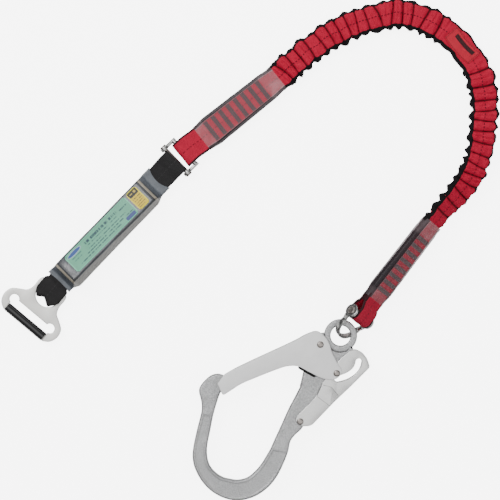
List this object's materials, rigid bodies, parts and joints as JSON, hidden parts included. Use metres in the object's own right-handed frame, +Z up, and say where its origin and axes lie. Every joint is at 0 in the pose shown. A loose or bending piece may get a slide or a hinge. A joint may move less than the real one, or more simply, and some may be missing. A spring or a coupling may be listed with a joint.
{
  "type": "shock absorbing lanyard",
  "caption": "Fall arrest lanyard: harness plate, folded tear webbing absorber, pleated stretch strap and large opening hook with double action gate.",
  "frame": {"origin": "bottom centre of the rigid pieces and end loops, with the lanyard laid out flat; the bellows strap is left out of that box", "axes": "+Z up from the surface it lies on; +X towards the strap bend; +Y towards the top of the strap arch"},
  "size_m": [0.5468, 0.5505, 0.0391],
  "materials": {
    "bellows_fabric": "pleated woven polyester, matt",
    "red_webbing": "woven polyester webbing",
    "label_patch": "sewn woven patch",
    "dark_thread": "bar tacks in bonded thread",
    "black_webbing": "woven polyester webbing",
    "clear_vinyl": "clear shrink tube",
    "grey_vinyl": "welded vinyl cover",
    "green_label": "printed film label",
    "yellow_label": "printed film label",
    "bright_steel": "plated steel",
    "rivet_steel": "turned steel rivet",
    "forged_steel": "forged, shot blasted and plated",
    "plate_alloy": "forged plate, satin",
    "gate_alloy": "pressed sheet, satin",
    "lever_alloy": "pressed sheet, brushed",
    "black_plastic": "moulded, semi gloss"
  },
  "bodies": {
    "strap": {"bellows_sleeve": "bellows_fabric", "core_webbing": "red_webbing", "link_end_loop": "red_webbing", "hook_end_loop": "red_webbing", "link_end_tube": "clear_vinyl", "hook_end_tube": "clear_vinyl", "link_bar_tacks": "dark_thread", "hook_bar_tacks": "dark_thread", "strap_label": "label_patch"},
    "link": {"link_shackle": "bright_steel", "link_pin": "bright_steel"},
    "absorber": {"upper_loop": "black_webbing", "lower_loop": "black_webbing", "tear_webbing": "black_webbing", "absorber_cover": "grey_vinyl", "rating_label": "green_label", "caution_label": "yellow_label"},
    "plate": {"harness_plate": "plate_alloy"},
    "roller": {"bar_sleeve": "black_plastic"},
    "shackle": {"strap_shackle": "bright_steel", "shackle_pin": "rivet_steel", "pin_bush": "bright_steel"},
    "hook": {"hook_body": "forged_steel", "gate_rivet": "rivet_steel", "lever_rivet": "rivet_steel", "gate_spring": "bright_steel", "lever_spring": "bright_steel", "spring_cover": "black_plastic"},
    "gate": {"gate": "gate_alloy", "lock_pin": "rivet_steel"},
    "lever": {"lock_lever": "lever_alloy"}
  },
  "joints": [
    {"name": "link_swing", "type": "hinge", "parent": "strap", "child": "link", "pos_m": [-0.03865, 0.14553, 0.007], "axis": [-0.6947, 0.7193, 0], "range_deg": [-60, 60]},
    {"name": "absorber_swing", "type": "hinge", "parent": "link", "child": "absorber", "pos_m": [-0.048, 0.1365, 0.007], "axis": [-0.6947, 0.7193, 0], "range_deg": [-60, 60]},
    {"name": "plate_swing", "type": "hinge", "parent": "absorber", "child": "plate", "pos_m": [-0.18218, -0.00308, 0.007], "axis": [-0.766, 0.6428, 0], "range_deg": [-45, 45]},
    {"name": "sleeve_roll", "type": "hinge", "parent": "plate", "child": "roller", "pos_m": [-0.214, -0.041, 0.007], "axis": [-0.766, 0.6428, 0], "continuous": true},
    {"name": "shackle_swing", "type": "hinge", "parent": "strap", "child": "shackle", "pos_m": [0.154, -0.035, 0.0198], "axis": [-0.51, 0.3913, 0.766], "range_deg": [-30, 30]},
    {"name": "hook_swing", "type": "hinge", "parent": "shackle", "child": "hook", "pos_m": [0.133, -0.056, 0.0155], "axis": [0, 0, 1], "range_deg": [-35, 20]},
    {"name": "gate_open", "type": "hinge", "parent": "hook", "child": "gate", "pos_m": [0.1105, -0.0655, 0.0155], "axis": [0, 0, 1], "range_deg": [0, 40], "stiffness_Nm_per_rad": 0.4, "springref_deg": -20.05},
    {"name": "lever_press", "type": "hinge", "parent": "hook", "child": "lever", "pos_m": [0.0885, -0.15, 0.0155], "axis": [0, 0, 1], "range_deg": [0, 8], "stiffness_Nm_per_rad": 0.3, "springref_deg": -11.46}
  ],
  "couplings": [
    {"joint": "lever_press", "follows": "gate_open", "ratio": 0.2}
  ]
}
